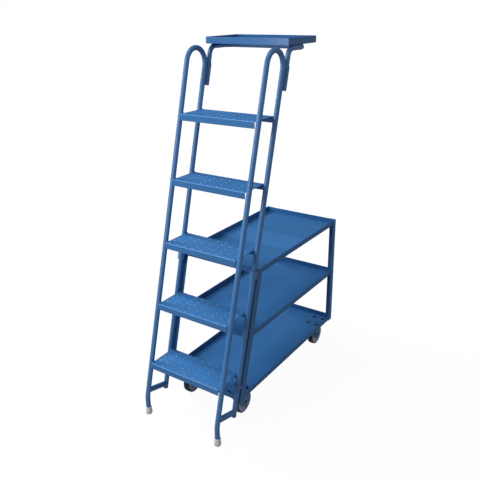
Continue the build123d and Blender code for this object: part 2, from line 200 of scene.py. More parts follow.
class Recipe:
    """A material's nodes, added one at a time."""

    def __init__(self, name: str) -> None:
        """Starts an empty material of that name."""
        self.material = bpy.data.materials.new(name)
        self.material.use_nodes = True
        self.tree = self.material.node_tree
        self.tree.nodes.clear()

    def node(self, kind: str, settings: Settings, inputs: Inputs) -> bpy.types.Node:
        """Adds a node.

        Args:
            kind: The node's type.
            settings: Its own settings, set first.
            inputs: A value, a term or a socket for each of its sockets.

        Returns:
            The node.
        """
        made = self.tree.nodes.new(kind)
        for key, value in settings.items():
            setattr(made, key, value)
        for key, value in inputs.items():
            source = value.socket if isinstance(value, Term) else value
            if isinstance(source, bpy.types.NodeSocket):
                self.tree.links.new(source, made.inputs[key])
            else:
                made.inputs[key].default_value = source
        return made

    def term(self, kind: str, settings: Settings, inputs: Inputs, output: Union[str, int]) -> Term:
        """Adds a node and gives one of its outputs as a term."""
        return Term(self, self.node(kind, settings, inputs).outputs[output])

    def place(self, stretch: Point = (1.0, 1.0, 1.0)) -> bpy.types.NodeSocket:
        """Gives the object's coordinates in metres, stretched along each axis."""
        inputs = {"Vector": self.node("ShaderNodeTexCoord", {}, {}).outputs["Object"], "Scale": stretch}
        return self.node("ShaderNodeMapping", {}, inputs).outputs["Vector"]

    def noise(self, scale: float, detail: float = 2.0, stretch: Point = (1.0, 1.0, 1.0)) -> Term:
        """Gives a soft random number between about 0.2 and 0.8, with about scale waves to the metre."""
        inputs = {"Vector": self.place(stretch), "Scale": scale, "Detail": detail, "Roughness": 0.55}
        return self.term("ShaderNodeTexNoise", {}, inputs, 0)

    def blend(self, factor: Operand, low: object, high: object) -> bpy.types.NodeSocket:
        """Blends two colours.

        Args:
            factor: 0 for the first colour, 1 for the second.
            low: The first colour, or a colour socket.
            high: The second colour, or a colour socket.

        Returns:
            The blended colour's socket.
        """
        first, second = (
            value if isinstance(value, bpy.types.NodeSocket) else (*value, 1.0) for value in (low, high)
        )
        settings = {"data_type": "RGBA", "clamp_factor": True}
        return self.node("ShaderNodeMix", settings, {0: factor, 6: first, 7: second}).outputs[2]

    def rounded(self, radius: float) -> bpy.types.NodeSocket:
        """Gives the surface's normal, turned gently over each edge."""
        return self.node("ShaderNodeBevel", {"samples": 4}, {"Radius": radius}).outputs["Normal"]

    def edge(self, radius: float) -> Term:
        """Gives a number that rises from 0 on the flat towards each edge."""
        geometry = self.node("ShaderNodeNewGeometry", {}, {})
        inputs = {0: self.rounded(radius), 1: geometry.outputs["Normal"]}
        return 1.0 - self.term("ShaderNodeVectorMath", {"operation": "DOT_PRODUCT"}, inputs, "Value")

    def facing(self) -> Term:
        """Gives 1 on faces that look straight up, 0 on upright faces and -1 on undersides."""
        geometry = self.node("ShaderNodeNewGeometry", {}, {})
        parts = self.node("ShaderNodeSeparateXYZ", {}, {0: geometry.outputs["Normal"]})
        return Term(self, parts.outputs["Z"])

    def upward(self) -> Term:
        """Gives 1 on faces that look up and 0 on the others."""
        return self.facing() > 0.9

    def bend(self) -> Term:
        """Gives 1 halfway round a bend from an upward face to a side face, and 0 on both faces."""
        height = self.facing()
        return (height * height * (1.0 - height * height) * 4.0).ramp(0.3, 0.9)

    def bump(self, height: Term, depth: float, under: bpy.types.NodeSocket) -> bpy.types.NodeSocket:
        """Raises the surface by a term.

        Args:
            height: The relief, from 0 to 1.
            depth: How high 1 stands, in metres.
            under: The normal that the relief stands on.

        Returns:
            The bent normal's socket.
        """
        inputs = {"Height": height, "Distance": depth, "Strength": 1.0, "Normal": under}
        return self.node("ShaderNodeBump", {}, inputs).outputs["Normal"]

    def surface(self, inputs: Inputs) -> bpy.types.Material:
        """Ends the material with its shader and gives the material."""
        shader = self.node("ShaderNodeBsdfPrincipled", {}, inputs)
        self.node("ShaderNodeOutputMaterial", {}, {"Surface": shader.outputs["BSDF"]})
        return self.material


def toned(tone: Colour, share: float, lift: float = 0.0) -> Colour:
    """Gives a share of a colour, lifted evenly towards white."""
    red, green, blue = (part * share + lift for part in tone)
    return red, green, blue


@dataclass(frozen=True)
class PowderCoat:
    """Blue powder coat with faint orange peel, worn a little lighter at its edges, with a painted highlight
    along the bends below upward faces.

    Attributes:
        name: The material's name.
        tone: The coat's colour.
        scuffs: How strongly upward faces are scuffed, from 0 to 1.
        edge_radius: How far the coat rounds each edge.
        wear: How much paler the edges are rubbed, from 0 to 1.
        bend_highlight: How strongly a paler blue is painted along the bends below upward faces as a
            highlight, from 0 to 1.
        roughness: How dull the colour under the glossy layer is.
        coat_roughness: How dull the glossy layer is.
        coat_ior: How strongly the glossy layer mirrors light that falls straight on it.
        gloss: How much of the glossy layer shows.
        dust: How much less of it shows on upward faces.
        cloud_scale: Waves to the metre of the coat's slow change of tone.
        grit_scale: Waves to the metre of the wear along the edges.
        scuff_scale: Waves to the metre of the scuffs.
        scuff_stretch: How the scuffs are drawn out along each axis.
        trodden_scale: Waves to the metre of the places where the scuffs gather.
        peel_scale: Waves to the metre of the orange peel.
        peel_depth: Height of the orange peel.
    """

    name: str
    tone: Colour = (0.042, 0.165, 0.40)
    scuffs: float = 0.0
    edge_radius: float = 0.0012
    wear: float = 0.4
    bend_highlight: float = 0.0
    roughness: float = 0.5
    coat_roughness: float = 0.2
    coat_ior: float = 2.0
    gloss: float = 0.1
    dust: float = 0.0
    cloud_scale: float = 2.4
    grit_scale: float = 160.0
    scuff_scale: float = 26.0
    scuff_stretch: Point = (0.35, 2.2, 1.0)
    trodden_scale: float = 5.0
    peel_scale: float = 620.0
    peel_depth: float = 0.000015

    def material(self) -> bpy.types.Material:
        """Builds the material."""
        recipe = Recipe(self.name)
        deep = toned(self.tone, 0.86)
        pale = toned(self.tone, 0.72, 0.16)
        cloud = recipe.noise(self.cloud_scale, 3.0).ramp(0.25, 0.75)
        colour = recipe.blend(cloud, deep, self.tone)
        grit = recipe.noise(self.grit_scale).ramp(0.35, 0.6)
        rubbed = recipe.edge(self.edge_radius).ramp(0.02, 0.3) * grit
        colour = recipe.blend(rubbed * self.wear, colour, pale)
        # Painted highlight: a paler blue laid along the bends between upward and side faces, where the folded
        # edges would catch the light.
        if self.bend_highlight:
            highlight_tone = toned(self.tone, 1.7, 0.07)
            colour = recipe.blend(recipe.bend() * self.bend_highlight, colour, highlight_tone)
        if self.scuffs:
            streaks = recipe.noise(self.scuff_scale, 5.0, self.scuff_stretch).ramp(0.52, 0.74)
            trodden = streaks * recipe.noise(self.trodden_scale).ramp(0.4, 0.65) * recipe.upward()
            colour = recipe.blend(trodden * self.scuffs, colour, pale)
        peel = recipe.noise(self.peel_scale, 1.0)
        return recipe.surface(
            {
                "Base Color": colour,
                "Roughness": self.roughness,
                "Specular IOR Level": 0.0,
                "Coat Weight": self.gloss - recipe.upward() * self.dust if self.dust else self.gloss,
                "Coat Roughness": self.coat_roughness,
                "Coat IOR": self.coat_ior,
                "Normal": recipe.bump(peel, self.peel_depth, recipe.rounded(self.edge_radius)),
            }
        )


@dataclass(frozen=True)
class FastenerSteel:
    """Plated bolts, nuts and washers, a little stained round their corners.

    Attributes:
        name: The material's name.
        tone: The plating's colour.
        stained: The colour of its stains.
        stain_scale: Waves to the metre of the stains.
        stain: How strongly they show, from 0 to 1.
        turning_scale: Waves to the metre of the marks of the tool.
        turning_depth: Height of those marks.
        edge_radius: How far each edge is rounded.
    """

    name: str
    tone: Colour = (0.06, 0.085, 0.14)
    stained: Colour = (0.03, 0.03, 0.04)
    stain_scale: float = 420.0
    stain: float = 0.6
    turning_scale: float = 1500.0
    turning_depth: float = 0.00003
    edge_radius: float = 0.0005

    def material(self) -> bpy.types.Material:
        """Builds the material."""
        recipe = Recipe(self.name)
        spots = recipe.noise(self.stain_scale, 4.0).ramp(0.45, 0.7)
        turning = recipe.noise(self.turning_scale, 1.0)
        return recipe.surface(
            {
                "Base Color": recipe.blend(spots * self.stain, self.tone, self.stained),
                "Metallic": 0.9,
                "Roughness": 0.32 + spots * 0.25,
                "Normal": recipe.bump(turning, self.turning_depth, recipe.rounded(self.edge_radius)),
            }
        )


@dataclass(frozen=True)
class Rubber:
    """Dull rubber with a fine grain, dustier where it is rubbed.

    Attributes:
        name: The material's name.
        tone: The rubber's colour.
        dust: The colour of the dust on it.
        roughness: How dull clean rubber is.
        dust_scale: Waves to the metre of the dust.
        worn_radius: How far from an edge it is rubbed.
        grain_scale: Waves to the metre of the grain.
        grain_depth: Height of the grain.
        edge_radius: How far each edge is rounded.
    """

    name: str
    tone: Colour
    dust: Colour
    roughness: float = 0.62
    dust_scale: float = 75.0
    worn_radius: float = 0.0015
    grain_scale: float = 2200.0
    grain_depth: float = 0.00006
    edge_radius: float = 0.0008

    def material(self) -> bpy.types.Material:
        """Builds the material."""
        recipe = Recipe(self.name)
        dusty = recipe.noise(self.dust_scale, 5.0).ramp(0.42, 0.72)
        worn = recipe.edge(self.worn_radius).ramp(0.05, 0.4)
        grain = recipe.noise(self.grain_scale)
        return recipe.surface(
            {
                "Base Color": recipe.blend(dusty * 0.5 + worn * 0.25, self.tone, self.dust),
                "Roughness": self.roughness + dusty * 0.2,
                "Specular IOR Level": 0.15,
                "Normal": recipe.bump(grain, self.grain_depth, recipe.rounded(self.edge_radius)),
            }
        )


@dataclass(frozen=True)
class MouldedCentre:
    """Blue-grey moulded plastic of the wheel centres, with faint flow marks.

    Attributes:
        name: The material's name.
        tone: The plastic's colour.
        flow_scale: Waves to the metre of the flow marks.
        grain_scale: Waves to the metre of the grain.
        grain_depth: Height of the grain.
        edge_radius: How far each edge is rounded and rubbed.
    """

    name: str
    tone: Colour = (0.36, 0.46, 0.66)
    flow_scale: float = 60.0
    grain_scale: float = 900.0
    grain_depth: float = 0.00005
    edge_radius: float = 0.001

    def material(self) -> bpy.types.Material:
        """Builds the material."""
        recipe = Recipe(self.name)
        pale = toned(self.tone, 0.85, 0.08)
        flow = recipe.noise(self.flow_scale, 4.0).ramp(0.3, 0.75)
        worn = recipe.edge(self.edge_radius).ramp(0.05, 0.4)
        grain = recipe.noise(self.grain_scale)
        return recipe.surface(
            {
                "Base Color": recipe.blend(flow * 0.7 + worn * 0.3, self.tone, pale),
                "Roughness": 0.42 + flow * 0.12,
                "Specular IOR Level": 0.2,
                "Normal": recipe.bump(grain, self.grain_depth, recipe.rounded(self.edge_radius)),
            }
        )


class Finishes:
    """Every finish of the machine, made once."""

    def __init__(self) -> None:
        """Makes the materials."""
        glossy = {"coat_ior": 2.4, "coat_roughness": 0.32}
        self.frame_blue = PowderCoat("frame_blue", gloss=0.17, **glossy).material()
        self.bracket_blue = PowderCoat("bracket_blue", gloss=0.24, **glossy).material()
        self.post_blue = PowderCoat("post_blue", wear=0.25, dust=0.07).material()
        # The treads carry a painted highlight along their front and rear bends.
        self.tread_blue = PowderCoat("tread_blue", scuffs=0.3, wear=0.3, bend_highlight=0.9, dust=0.07).material()
        self.pan_blue = PowderCoat("pan_blue", scuffs=0.12, wear=0.2, dust=0.07).material()
        self.tray_blue = PowderCoat(
            "tray_blue", scuffs=0.12, wear=0.3, coat_ior=2.4, gloss=0.13, dust=0.03
        ).material()
        # The buttons' paler blue is partly painted highlight for the light their raised tops catch, and
        # partly paint worn off their tips.
        self.button_blue = PowderCoat("button_blue", (0.10, 0.27, 0.54), gloss=0.5).material()
        self.dark_steel = FastenerSteel("dark_steel").material()
        self.tyre = Rubber("tyre_black", (0.008, 0.011, 0.022), (0.034, 0.038, 0.05)).material()
        self.tip = Rubber("tip_grey", (0.72, 0.72, 0.70), (0.5, 0.49, 0.47), 0.55).material()
        self.plug = Rubber("plug_dark", (0.02, 0.022, 0.028), (0.06, 0.06, 0.06), 0.5).material()
        self.centre = MouldedCentre("moulded_centre").material()

    def dress(self, nodes: Dict[str, bpy.types.Object]) -> None:
        """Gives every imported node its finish.

        Args:
            nodes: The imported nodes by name.
        """
        starts = {
            "step": self.tread_blue,
            "bottom_shelf": self.pan_blue,
            "middle_shelf": self.pan_blue,
            "top_shelf": self.pan_blue,
            "tray": self.tray_blue,
            "tray_bracket": self.bracket_blue,
            "front_post": self.post_blue,
            "rear_post": self.post_blue,
            "front_axle": self.dark_steel,
            "rear_axle": self.dark_steel,
            "front_tyre": self.tyre,
            "rear_tyre": self.tyre,
            "front_hub": self.centre,
            "rear_hub": self.centre,
            "foot_tip": self.tip,
        }
        for name, node in nodes.items():
            fits = [start for start in starts if name.startswith(start)]
            finish = starts[max(fits, key=len)] if fits else self.frame_blue
            if not node.material_slots:
                node.data.materials.append(finish)
            for place in node.material_slots:
                place.material = finish
            LOG.info("node %s wears %s", name, finish.name)


class Shape:
    """A mesh under construction, made of operator calls."""

    def __init__(self) -> None:
        """Starts with nothing."""
        self.mesh = bmesh.new()

    def drum(self, place: Matrix, radius: float, height: float, bevel: float, sides: int = 32) -> None:
        """Adds a closed drum or prism that stands on its place.

        Args:
            place: The frame whose origin is the middle of the drum's foot.
            radius: The radius to its corners.
            height: How far it rises along the frame's z.
            bevel: How much its edges are broken.
            sides: The number of its sides.
        """
        made = bmesh.ops.create_cone(
            self.mesh,
            cap_ends=True,
            segments=sides,
            radius1=radius,
            radius2=radius,
            depth=height,
            matrix=place @ Matrix.Translation((0, 0, height / 2)),
        )
        verts = set(made["verts"])
        ends = [face for face in self.mesh.faces if len(face.verts) == sides and verts.issuperset(face.verts)]
        rims = list({edge for face in ends for edge in face.edges})
        bmesh.ops.bevel(
            self.mesh, geom=rims, offset=bevel, affect="EDGES", segments=2, profile=0.5, material=-1
        )

    def spun(self, place: Matrix, outline: Outline, steps: int = 32, closed: bool = True) -> None:
        """Adds a turned ring or knob.

        Args:
            place: The frame whose z is the axis.
            outline: Radius and height of each point of the section.
            steps: The number of steps round the axis.
            closed: Whether the section's last point joins its first.
        """
        verts = [self.mesh.verts.new(place @ Vector((radius, 0, height))) for radius, height in outline]
        pairs = list(zip(verts, verts[1:])) + ([(verts[-1], verts[0])] if closed else [])
        edges = [self.mesh.edges.new(pair) for pair in pairs]
        bmesh.ops.spin(
            self.mesh,
            geom=verts + edges,
            cent=place.to_translation(),
            axis=place.to_3x3() @ Vector((0, 0, 1)),
            angle=2 * pi,
            steps=steps,
            use_merge=True,
        )

    def knob(self, place: Matrix, radius: float, height: float, sides: int, rings: int) -> None:
        """Adds a ball, flattened or drawn out along its own z.

        Args:
            place: The frame whose origin is the ball's middle.
            radius: The radius across its z.
            height: The radius along its z.
            sides: The number of steps round it.
            rings: The number of steps from pole to pole.
        """
        bmesh.ops.create_uvsphere(
            self.mesh,
            u_segments=sides,
            v_segments=rings,
            radius=1.0,
            matrix=place @ Matrix.Diagonal((radius, radius, height, 1.0)),
        )

    def bead(self, start: Vector, end: Vector, radius: float, flat: float = 0.8) -> None:
        """Adds a weld bead of overlapping ripples.

        Args:
            start: One end of the bead.
            end: Its other end.
            radius: The bead's radius.
            flat: Thickness of each ripple along the bead, as a share of its radius.
        """
        along = end - start
        spacing = radius * flat * 1.1
        count = max(2, round(along.length / spacing))
        turn = along.to_track_quat("Z", "Y").to_matrix().to_4x4()
        for index in range(count + 1):
            place = Matrix.Translation(start + along * (index / count)) @ turn
            swell = radius * (1.0 + 0.06 * sin(index * 2.3))
            self.knob(place, swell, radius * flat, 8, 5)

    def finished(self, name: str, body: str, finish: bpy.types.Material) -> bpy.types.Object:
        """Turns the mesh into a piece of the machine.

        Args:
            name: The piece's name.
            body: The body that it rides on.
            finish: Its material.

        Returns:
            The piece.
        """
        bmesh.ops.remove_doubles(self.mesh, verts=self.mesh.verts, dist=1e-6)
        bmesh.ops.recalc_face_normals(self.mesh, faces=self.mesh.faces)
        data = bpy.data.meshes.new(name)
        self.mesh.to_mesh(data)
        self.mesh.free()
        data.shade_smooth()
        data.set_sharp_from_angle(angle=radians(38))
        data.materials.append(finish)
        made = bpy.data.objects.new(name, data)
        bpy.context.scene.collection.objects.link(made)
        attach(made, body)
        LOG.info("piece %s rides on %s with %d faces", name, body, len(data.polygons))
        return made


@dataclass
class Treads:
    """Raised anti-slip buttons on the treads and the welds at their ends.

    Attributes:
        finishes: The machine's finishes.
        count: The number of treads.
        columns: The number of buttons across a tread.
        rows: The number of buttons from front to back.
        pitch_x: Distance between the columns.
        pitch_y: Distance between the rows.
        button_r: A button's radius.
        button_h: A button's height.
        button_root: Share of that height by which a button goes into the tread.
        bead_r: Radius of a weld bead.
        bead_half: Half of its length.
    """

    finishes: Finishes
    count: int = 5
    columns: int = 9
    rows: int = 5
    pitch_x: float = 0.0474
    pitch_y: float = 0.036
    button_r: float = 0.0042
    button_h: float = 0.0011
    button_root: float = 0.3
    bead_r: float = 0.0024
    bead_half: float = 0.0085

    def buttons(self, number: int, top_z: float) -> bpy.types.Object:
        """Builds the buttons of one tread.

        Args:
            number: The tread's number from the floor up.
            top_z: The height of its top.

        Returns:
            The buttons as one piece.
        """
        shape = Shape()
        middle_y = SIZES.stile_y(top_z) - SIZES.tread_front + SIZES.tread_depth / 2
        for column in range(self.columns):
            for row in range(self.rows):
                x = (column - (self.columns - 1) / 2) * self.pitch_x
                y = middle_y + (row - (self.rows - 1) / 2) * self.pitch_y
                shape.knob(Matrix.Translation((x, y, top_z)), self.button_r, self.button_h, 14, 8)
        everything = shape.mesh.verts[:] + shape.mesh.edges[:] + shape.mesh.faces[:]
        bmesh.ops.bisect_plane(
            shape.mesh,
            geom=everything,
            plane_co=(0, 0, top_z - self.button_h * self.button_root),
            plane_no=(0, 0, 1),
            clear_inner=True,
        )
        return shape.finished(f"tread_buttons_{number}", "ladder", self.finishes.button_blue)

    def welds(self, number: int, top_z: float) -> bpy.types.Object:
        """Builds the four beads that hold one tread between the stiles.

        Args:
            number: The tread's number from the floor up.
            top_z: The height of its top.

        Returns:
            The beads as one piece.
        """
        shape = Shape()
        for hand in Hand:
            x = hand.value * (SIZES.stile_x - SIZES.tube_r)
            for n in (0.0, SIZES.stile_gap):
                middle = Vector((x, SIZES.stile_y(top_z, n), top_z - SIZES.weld_sink))
                half = Vector((0, self.bead_half, 0))
                shape.bead(middle - half, middle + half, self.bead_r)
        return shape.finished(f"tread_welds_{number}", "ladder", self.finishes.frame_blue)

    def build(self) -> None:
        """Builds every tread's buttons and welds."""
        for number in range(1, self.count + 1):
            top_z = SIZES.first_tread_z + (number - 1) * SIZES.tread_rise
            self.buttons(number, top_z)
            self.welds(number, top_z)


@dataclass
class SideFrames:
    """Plugs, tip rings and welds of the two bent side frames.

    Attributes:
        finishes: The machine's finishes.
        rear_end_s: Where a rear stile's open end lies along the lean.
        tube_t: Wall of the stiles' tube, with the plug's clearance in it.
        plug_lip: Thickness of the plug's head below the tube's end.
        plug_reach: How far the plug goes up the tube.
        foot_y: Where the upright foot stands.
        tip_top_z: Height of the rubber tip's upper end.
        tip_top_r: Its radius there.
        tip_widest_z: Height of its widest place.
        tip_widest_r: Its radius there.
        collar_r: Radius of the rolled collar's section.
        rib_heights: Heights of the ribs.
        rib_h: Half of a rib's height.
        rib_out: How far a rib stands out, and how deep its foot lies.
        bead_r: Radius of a weld bead.
        sleeve_s: Where the sleeve begins and ends along the lean.
        stitch: Length of each of its beads.
        stitch_x: Distance of the beads from the stile's middle plane.
        stitch_gap: Distance of the beads from the back of the stile.
        brace_s: Where the foot brace lies along the lean.
        brace_r: Its radius at the beads.
        brace_bead_x: Half the length of the beads across the brace.
        seat: Share of a radius at which a bead sits on a round tube.
    """

    finishes: Finishes
    rear_end_s: float = 0.132
    tube_t: float = 0.0023
    plug_lip: float = 0.0024
    plug_reach: float = 0.012
    foot_y: float = 0.032
    tip_top_z: float = 0.055
    tip_top_r: float = 0.0152
    tip_widest_z: float = 0.024
    tip_widest_r: float = 0.0185
    collar_r: float = 0.0014
    rib_heights: Tuple[float, ...] = (0.030, 0.037, 0.044)
    rib_h: float = 0.0012
    rib_out: float = 0.0006
    bead_r: float = 0.0021
    sleeve_s: Tuple[float, float] = (1.744, 1.822)
    stitch: float = 0.024
    stitch_x: float = 0.0052
    stitch_gap: float = 0.0002
    brace_s: float = 0.157
    brace_r: float = 0.0143
    brace_bead_x: float = 0.0045
    seat: float = 0.94

    def plug(self, hand: Hand) -> bpy.types.Object:
        """Builds the plug in the open lower end of a rear stile."""
        shape = Shape()
        place = SIZES.leaning(hand.value * SIZES.stile_x, SIZES.stile_gap, self.rear_end_s)
        outer = SIZES.tube_r
        bore = outer - self.tube_t
        section = (
            (0.0, -self.plug_lip),
            (outer * 0.7, -self.plug_lip),
            (outer * 0.92, -self.plug_lip * 0.7),
            (outer, -self.plug_lip * 0.15),
            (outer, 0.0),
            (bore, 0.0),
            (bore, self.plug_reach),
            (0.0, self.plug_reach),
        )
        shape.spun(place, section, closed=False)
        return shape.finished(f"stile_plug_{hand.word}", "ladder", self.finishes.plug)

    def tip_rings(self, hand: Hand) -> bpy.types.Object:
        """Builds the rolled collar and the shallow ribs of a rubber tip."""
        shape = Shape()
        place = Matrix.Translation((hand.value * SIZES.stile_x, self.foot_y - SIZES.middle_y, 0.0))
        middle_z = self.tip_top_z - self.collar_r
        turns = [turn * pi / 5 for turn in range(10)]
        collar = [
            (self.tip_top_r + self.collar_r * cos(turn), middle_z + self.collar_r * sin(turn))
            for turn in turns
        ]
        shape.spun(place, collar, 36)
        slope = (self.tip_widest_r - self.tip_top_r) / (self.tip_top_z - self.tip_widest_z)
        for height in self.rib_heights:
            skin = self.tip_widest_r - (height - self.tip_widest_z) * slope
            rib = (
                (skin - self.rib_out, height - self.rib_h),
                (skin + self.rib_out, height),
                (skin - self.rib_out, height + self.rib_h),
            )
            shape.spun(place, rib, 36)
        return shape.finished(f"tip_rings_{hand.word}", "ladder", self.finishes.tip)

    def sleeve_beads(self, shape: Shape, hand: Hand) -> None:
        """Adds the stitch beads between a sleeve and its stile."""
        n = SIZES.stile_gap + SIZES.tube_r + self.stitch_gap
        low, high = self.sleeve_s
        for offset in (-self.stitch_x, self.stitch_x):
            x = hand.value * SIZES.stile_x + offset
            for start, end in ((low, low + self.stitch), (high - self.stitch, high)):
                shape.bead(SIZES.point(x, n, start), SIZES.point(x, n, end), self.bead_r)

    def brace_beads(self, shape: Shape, hand: Hand) -> None:
        """Adds the beads above and below both ends of a foot brace."""
        for n_end, inward in ((0.0, 1), (SIZES.stile_gap, -1)):
            n = n_end + inward * SIZES.tube_r * self.seat
            for lift in (-1, 1):
                s = self.brace_s + lift * self.brace_r * self.seat
                first, last = (
                    SIZES.point(hand.value * SIZES.stile_x + offset, n, s)
                    for offset in (-self.brace_bead_x, self.brace_bead_x)
                )
                shape.bead(first, last, self.bead_r)

    def welds(self, hand: Hand) -> bpy.types.Object:
        """Builds the weld beads of one side frame."""
        shape = Shape()
        self.sleeve_beads(shape, hand)
        self.brace_beads(shape, hand)
        return shape.finished(f"frame_welds_{hand.word}", "ladder", self.finishes.frame_blue)

    def build(self) -> None:
        """Builds both sides."""
        for hand in Hand:
            self.plug(hand)
            self.tip_rings(hand)
            self.welds(hand)


@dataclass
class Tray:
    """Corner welds of the writing tray and the beads that hold it on its bracket.

    Attributes:
        finishes: The machine's finishes.
        half_width: Half of the tray's width.
        front_y: Where its front lies.
        back_y: Where its back lies.
        bottom_z: Height of its underside.
        top_z: Height of its lips.
        corner_in: Distance of a corner bead inwards from both outer faces.
        corner_low: Where a corner bead begins above the underside.
        corner_high: Where it ends below the lips.
        bead_r: Radius of a corner bead.
        arm_bead_r: Radius of a bead on the bracket.
        arm_ys: Where the beads on the bracket's arms begin.
        arm_bead: Their length.
        cross_y: Where the bracket's cross tube lies.
        cross_xs: Where the beads on it begin.
        cross_bead: Their length.
        beside: Distance of a bead from the middle of the tube that it holds.
    """

    finishes: Finishes
    half_width: float = 0.2345
    front_y: float = 0.645
    back_y: float = 0.914
    bottom_z: float = 1.831
    top_z: float = 1.864
    corner_in: float = 0.0024
    corner_low: float = 0.003
    corner_high: float = 0.0015
    bead_r: float = 0.0011
    arm_bead_r: float = 0.002
    arm_ys: Tuple[float, ...] = (0.686, 0.716, 0.746)
    arm_bead: float = 0.016
    cross_y: float = 0.820
    cross_xs: Tuple[float, ...] = (-0.14, -0.05, 0.04, 0.13)
    cross_bead: float = 0.02
    beside: float = 0.0048

    def corner_beads(self, shape: Shape, hand: Hand) -> None:
        """Adds the upright beads in a side's two corners."""
        x = hand.value * (self.half_width - self.corner_in)
        for y, inward in ((self.front_y, 1), (self.back_y, -1)):
            place_y = y + inward * self.corner_in - SIZES.middle_y
            foot = Vector((x, place_y, self.bottom_z + self.corner_low))
            head = Vector((x, place_y, self.top_z - self.corner_high))
            shape.bead(foot, head, self.bead_r)

    def arm_beads(self, shape: Shape, hand: Hand) -> None:
        """Adds the beads along both sides of one of the bracket's arms."""
        along = Vector((0, self.arm_bead, 0))
        for y in self.arm_ys:
            for offset in (-self.beside, self.beside):
                x = hand.value * SIZES.stile_x + offset
                first = Vector((x, y - SIZES.middle_y, self.bottom_z - SIZES.weld_sink))
                shape.bead(first, first + along, self.arm_bead_r)

    def cross_beads(self, shape: Shape) -> None:
        """Adds the beads along both sides of the bracket's cross tube."""
        along = Vector((self.cross_bead, 0, 0))
        for x in self.cross_xs:
            for offset in (-self.beside, self.beside):
                y = self.cross_y + offset - SIZES.middle_y
                first = Vector((x, y, self.bottom_z - SIZES.weld_sink))
                shape.bead(first, first + along, self.arm_bead_r)

    def build(self) -> None:
        """Builds the beads as one piece."""
        shape = Shape()
        for hand in Hand:
            self.corner_beads(shape, hand)
            self.arm_beads(shape, hand)
        self.cross_beads(shape)
        shape.finished("tray_welds", "ladder", self.finishes.frame_blue)


@dataclass
class CartFrame:
    """Welds that join the pans, posts and guide rings of the cart.

    Attributes:
        finishes: The machine's finishes.
        half_width: Half of the cart's width.
        angle_t: Thickness of the posts' angle iron.
        angle_leg: Width of its legs.
        rear_y: Where the cart's rear lies.
        levels: The number of pans.
        lip: Height of their rims.
        guide_r: Outer radius of the guide rings.
        guides: Where each ring begins and ends along the lean.
        bead_r: Radius of a weld bead.
        ring_x: Distance of a ring's beads from its middle.
        ring_sink: How deep they lie below the ring's outside.
        ring_short: How far from each end of the ring they stop.
        rim_low: Where the beads on the pans' rims begin above the pan's underside.
        rim_top: Where they end below the rim's top.
        rim_out: How far their middle lies outside the inner face of the post's leg.
    """

    finishes: Finishes
    half_width: float = 0.2362
    angle_t: float = 0.0032
    angle_leg: float = 0.0381
    rear_y: float = 1.239
    levels: int = 3
    lip: float = 0.030
    guide_r: float = 0.019
    guides: Tuple[Tuple[float, float], ...] = ((0.283, 0.303), (0.845, 0.884))
    bead_r: float = 0.0021
    ring_x: float = 0.0085
    ring_sink: float = 0.0012
    ring_short: float = 0.002
    rim_low: float = 0.004
    rim_top: float = 0.003
    rim_out: float = 0.0006

    def ring_welds(self) -> bpy.types.Object:
        """Builds the beads beside each guide ring, in the corner it makes with its post."""
        shape = Shape()
        n = SIZES.stile_gap + self.guide_r - self.ring_sink
        for hand in Hand:
            for low, high in self.guides:
                for offset in (-self.ring_x, self.ring_x):
                    x = hand.value * SIZES.stile_x + offset
                    first = SIZES.point(x, n, low + self.ring_short)
                    last = SIZES.point(x, n, high - self.ring_short)
                    shape.bead(first, last, self.bead_r)
        return shape.finished("guide_welds", "cart", self.finishes.frame_blue)

    def pan_welds(self) -> bpy.types.Object:
        """Builds the beads where the legs of the posts end on the pans' rims."""
        shape = Shape()
        n = SIZES.stile_gap + self.guide_r + self.angle_leg
        side_y = self.rear_y - self.angle_leg - SIZES.middle_y
        back_y = self.rear_y - self.angle_t + self.rim_out - SIZES.middle_y
        for level in range(self.levels):
            pan_z = SIZES.deck_z + level * SIZES.deck_pitch
            low, high = pan_z + self.rim_low, pan_z + self.lip - self.rim_top
            for hand in Hand:
                side_x = hand.value * (self.half_width - self.angle_t + self.rim_out)
                back_x = hand.value * (self.half_width - self.angle_leg)
                ends = {z: SIZES.stile_y(z, n) for z in (low, high)}
                for x, low_y, high_y in (
                    (side_x, side_y, side_y),
                    (side_x, ends[low], ends[high]),
                    (back_x, back_y, back_y),
                ):
                    shape.bead(Vector((x, low_y, low)), Vector((x, high_y, high)), self.bead_r)
        return shape.finished("pan_welds", "cart", self.finishes.frame_blue)

    def build(self) -> None:
        """Builds all welds of the cart."""
        self.ring_welds()
        self.pan_welds()


